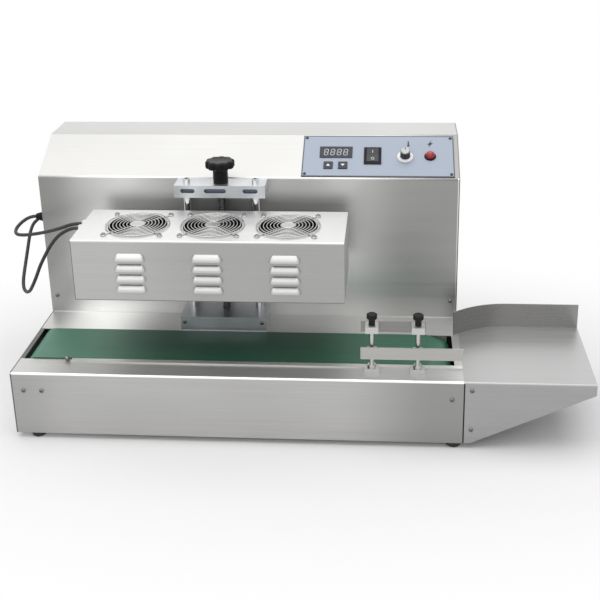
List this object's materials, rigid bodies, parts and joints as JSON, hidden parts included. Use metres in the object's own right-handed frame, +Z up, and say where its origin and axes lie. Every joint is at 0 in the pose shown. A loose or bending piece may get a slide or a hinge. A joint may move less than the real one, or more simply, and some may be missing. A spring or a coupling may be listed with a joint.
{
  "type": "induction cap sealer",
  "caption": "Bench-top induction cap sealer: a sealing head with fans hangs on a screw lift over a belt conveyor, with a sloped control housing behind and an outfeed tray.",
  "frame": {"origin": "middle of the machine's footprint, on the surface that its feet stand on", "axes": "+X along the belt towards the outfeed tray, +Z up, and the control side faces -Y"},
  "size_m": [1.0512, 0.4288, 0.459],
  "materials": {
    "stainless": "brushed along the length",
    "screws": "bright",
    "feet": "matt",
    "belt": "fine woven texture",
    "rollers": "turned",
    "bed": "mill",
    "motor": "painted",
    "machined": "machined",
    "rods": "polished",
    "lead_screw": "dark, threaded",
    "clamp_rods": "polished rod with a black moulded knob",
    "black_plastic": "moulded",
    "panel": "satin",
    "display": "smoked window",
    "keys": "moulded",
    "lens": "translucent red",
    "boards": "lacquered board",
    "coil": "enamelled copper",
    "ferrite": "sintered",
    "grommets": "moulded",
    "cords": "smooth jacket"
  },
  "bodies": {
    "frame": {"base_shell": "stainless", "base_plate": "stainless", "feet": "feet", "case_screws": "screws", "belt_bed": "bed", "conveyor_belt": "belt", "roller_bearings": "bed", "gear_motor": "motor", "slide_bar": "stainless", "housing_shell": "stainless", "rear_cover": "stainless", "power_inlet": "black_plastic", "control_panel": "panel", "display_window": "display", "switch_bezel": "black_plastic", "potentiometer": "machined", "lamp_bezel": "rods", "lamp_lens": "lens", "control_board": "boards", "inverter_board": "boards", "heat_sink": "machined", "lift_top_plate": "machined", "plate_bolts": "screws", "guide_rods": "rods", "bottom_bracket": "machined", "cord_glands": "black_plastic", "upper_cord": "cords", "lower_cord": "cords", "tray": "stainless", "curved_rail": "stainless"},
    "head": {"lift_carriage": "machined", "head_shell": "stainless", "head_base": "black_plastic", "induction_coil": "coil", "ferrite_bars": "ferrite", "fan_frame_left": "black_plastic", "fan_frame_middle": "black_plastic", "fan_frame_right": "black_plastic", "fan_guard_left": "rods", "fan_guard_middle": "rods", "fan_guard_right": "rods", "guard_screws": "screws", "head_grommets": "grommets"},
    "lift_screw": {"lead_screw": "lead_screw", "lift_knob": "black_plastic"},
    "drive": {"drive_roller": "rollers"},
    "idler": {"idler_roller": "rollers"},
    "up_key": {"up_button": "keys"},
    "down_key": {"down_button": "keys"},
    "rocker": {"switch_rocker": "black_plastic"},
    "dial": {"speed_knob": "black_plastic"},
    "guide": {"guide_feet": "machined", "rail_blocks": "machined", "lower_rail": "stainless", "upper_rail": "stainless"},
    "fan_left": {"fan_rotor_left": "black_plastic"},
    "fan_middle": {"fan_rotor_middle": "black_plastic"},
    "fan_right": {"fan_rotor_right": "black_plastic"},
    "clamp_left": {"clamp_rod_left": "clamp_rods"},
    "clamp_right": {"clamp_rod_right": "clamp_rods"}
  },
  "joints": [
    {"name": "head_lift", "type": "slide", "parent": "frame", "child": "head", "axis": [0, 0, 1], "range_m": [-0.085, 0.065], "deforming": ["upper_cord", "lower_cord"]},
    {"name": "lift_screw_turn", "type": "hinge", "parent": "frame", "child": "lift_screw", "pos_m": [-0.144, 0.00585, 0.4], "axis": [0, 0, 1], "range_deg": [-2926, 3826]},
    {"name": "fan_left_spin", "type": "hinge", "parent": "head", "child": "fan_left", "pos_m": [-0.276, -0.09615, 0.34], "axis": [0, 0, 1], "continuous": true},
    {"name": "fan_middle_spin", "type": "hinge", "parent": "head", "child": "fan_middle", "pos_m": [-0.144, -0.09615, 0.34], "axis": [0, 0, 1], "continuous": true},
    {"name": "fan_right_spin", "type": "hinge", "parent": "head", "child": "fan_right", "pos_m": [-0.012, -0.09615, 0.34], "axis": [0, 0, 1], "continuous": true},
    {"name": "drive_spin", "type": "hinge", "parent": "frame", "child": "drive", "pos_m": [0.252, -0.10215, 0.101], "axis": [0, 1, 0], "continuous": true},
    {"name": "idler_spin", "type": "hinge", "parent": "frame", "child": "idler", "pos_m": [-0.461, -0.10215, 0.109], "axis": [0, 1, 0], "continuous": true},
    {"name": "up_press", "type": "slide", "parent": "frame", "child": "up_key", "axis": [0, -0.4864, 0.8737], "range_m": [-0.001, 0], "stiffness_N_per_m": 400, "springref_m": 0.001},
    {"name": "down_press", "type": "slide", "parent": "frame", "child": "down_key", "axis": [0, -0.4864, 0.8737], "range_m": [-0.001, 0], "stiffness_N_per_m": 400, "springref_m": 0.001},
    {"name": "rocker_tilt", "type": "hinge", "parent": "frame", "child": "rocker", "pos_m": [0.13, 0.07591, 0.43175], "axis": [1, 0, 0], "range_deg": [-18, 0]},
    {"name": "dial_turn", "type": "hinge", "parent": "frame", "child": "dial", "pos_m": [0.19, 0.07416, 0.43078], "axis": [0, -0.4864, 0.8737], "range_deg": [-140, 140]},
    {"name": "guide_slide", "type": "slide", "parent": "frame", "child": "guide", "axis": [1, 0, 0], "range_m": [-0.012, 0.06]},
    {"name": "clamp_left_turn", "type": "hinge", "parent": "guide", "child": "clamp_left", "pos_m": [0.134, -0.18015, 0.178], "axis": [0, 0, 1], "range_deg": [-180, 180]},
    {"name": "clamp_right_turn", "type": "hinge", "parent": "guide", "child": "clamp_right", "pos_m": [0.212, -0.18015, 0.178], "axis": [0, 0, 1], "range_deg": [-180, 180]}
  ],
  "couplings": [
    {"joint": "lift_screw_turn", "follows": "head_lift", "rad_per_m": -785.4},
    {"joint": "idler_spin", "follows": "drive_spin", "ratio": 1}
  ]
}
